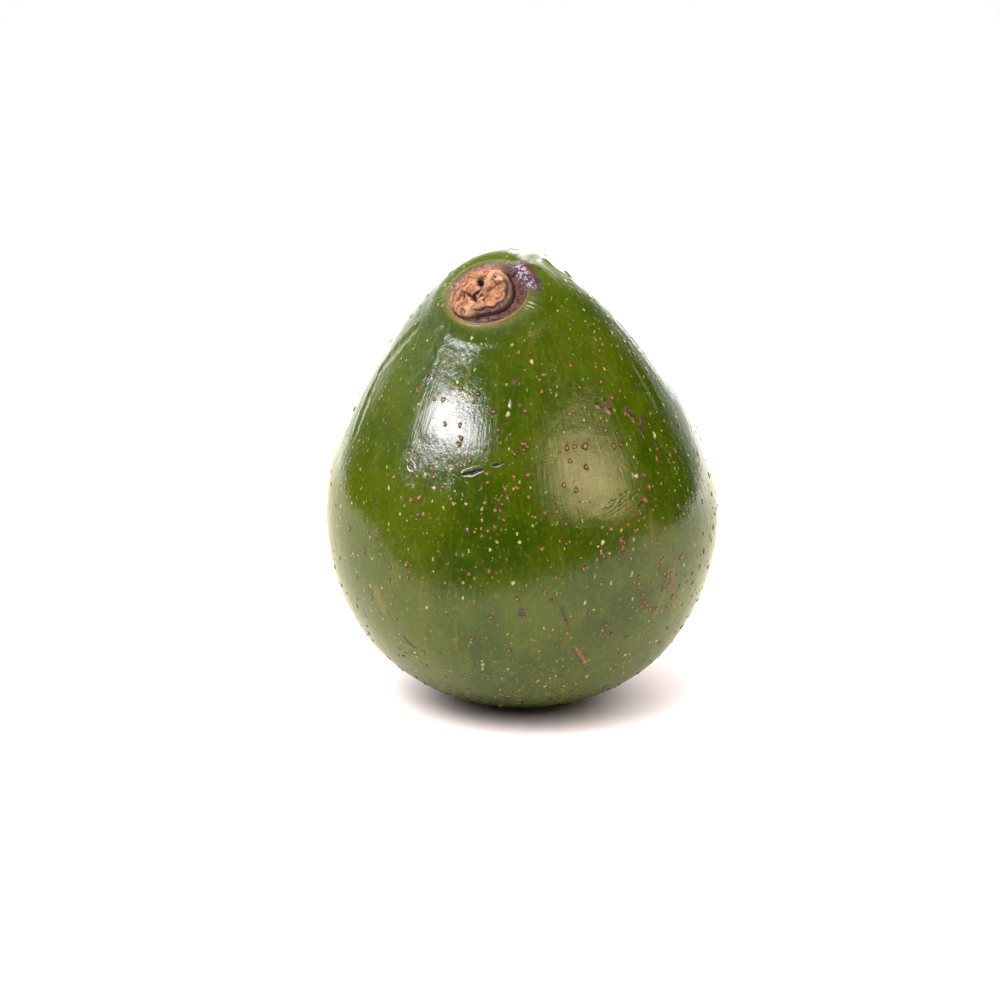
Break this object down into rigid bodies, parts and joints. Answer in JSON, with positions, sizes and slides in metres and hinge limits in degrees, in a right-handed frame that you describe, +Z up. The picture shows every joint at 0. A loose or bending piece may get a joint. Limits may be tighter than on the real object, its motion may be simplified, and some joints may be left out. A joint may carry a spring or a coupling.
{
  "type": "avocado",
  "caption": "Whole green avocado, rounded below and tapering to a woody stem button in a sunken ring, standing on a small flat spot.",
  "frame": {"origin": "centre of the small flat spot that the fruit rests on", "axes": "+Z up, away from the surface it rests on; the stem end leans towards -Y and slightly towards -X"},
  "size_m": [0.0774, 0.0777, 0.0929],
  "materials": {
    "skin": "smooth waxy green skin with pale dots, brown corky spots and a brown-purple collar round the stem",
    "stem_wood": "dry torn tan fibre with a dark bark edge"
  },
  "bodies": {
    "root": {"fruit": "skin", "stem_button": "stem_wood"}
  },
  "joints": []
}
